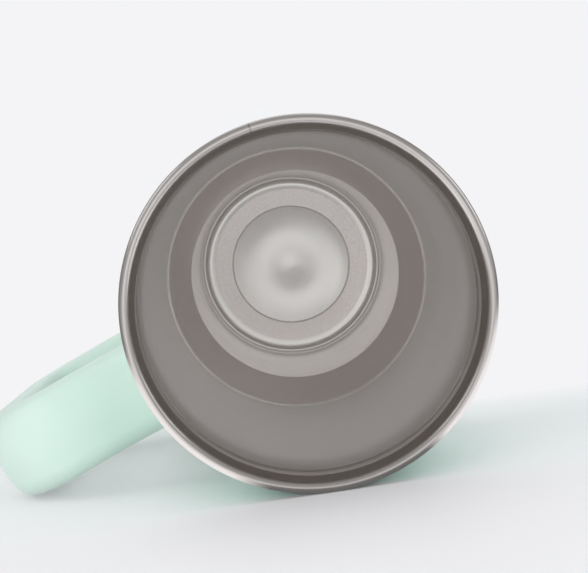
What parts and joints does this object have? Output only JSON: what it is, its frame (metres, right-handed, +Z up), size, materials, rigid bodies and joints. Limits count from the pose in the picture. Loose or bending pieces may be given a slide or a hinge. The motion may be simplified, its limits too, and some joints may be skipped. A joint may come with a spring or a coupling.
{
  "type": "tumbler with handle",
  "caption": "Double-walled steel drinking tumbler with a rolled polished lip, a stepped lower body for a cup holder and a closed moulded side handle.",
  "frame": {"origin": "centre of the foot, on the table", "axes": "+Z up along the body's axis towards the mouth, +X towards the handle"},
  "size_m": [0.1511, 0.099, 0.26],
  "materials": {
    "satin_steel": "blasted and electropolished, satin; polished lip and lid seat",
    "powder_coat": "fine mint powder coat on steel",
    "moulded_handle": "satin mint moulded plastic",
    "solder_glass": "fused bead",
    "sintered_metal": "sintered pellet"
  },
  "bodies": {
    "root": {"inner_liner": "satin_steel", "outer_shell": "powder_coat", "outer_bottom": "satin_steel", "base_cover": "satin_steel", "sealing_glass": "solder_glass", "getter": "sintered_metal", "getter_cap": "satin_steel", "upper_bracket": "satin_steel", "lower_bracket": "satin_steel", "handle_frame": "moulded_handle", "handle_cover": "moulded_handle", "handle_screws": "satin_steel"}
  },
  "joints": []
}
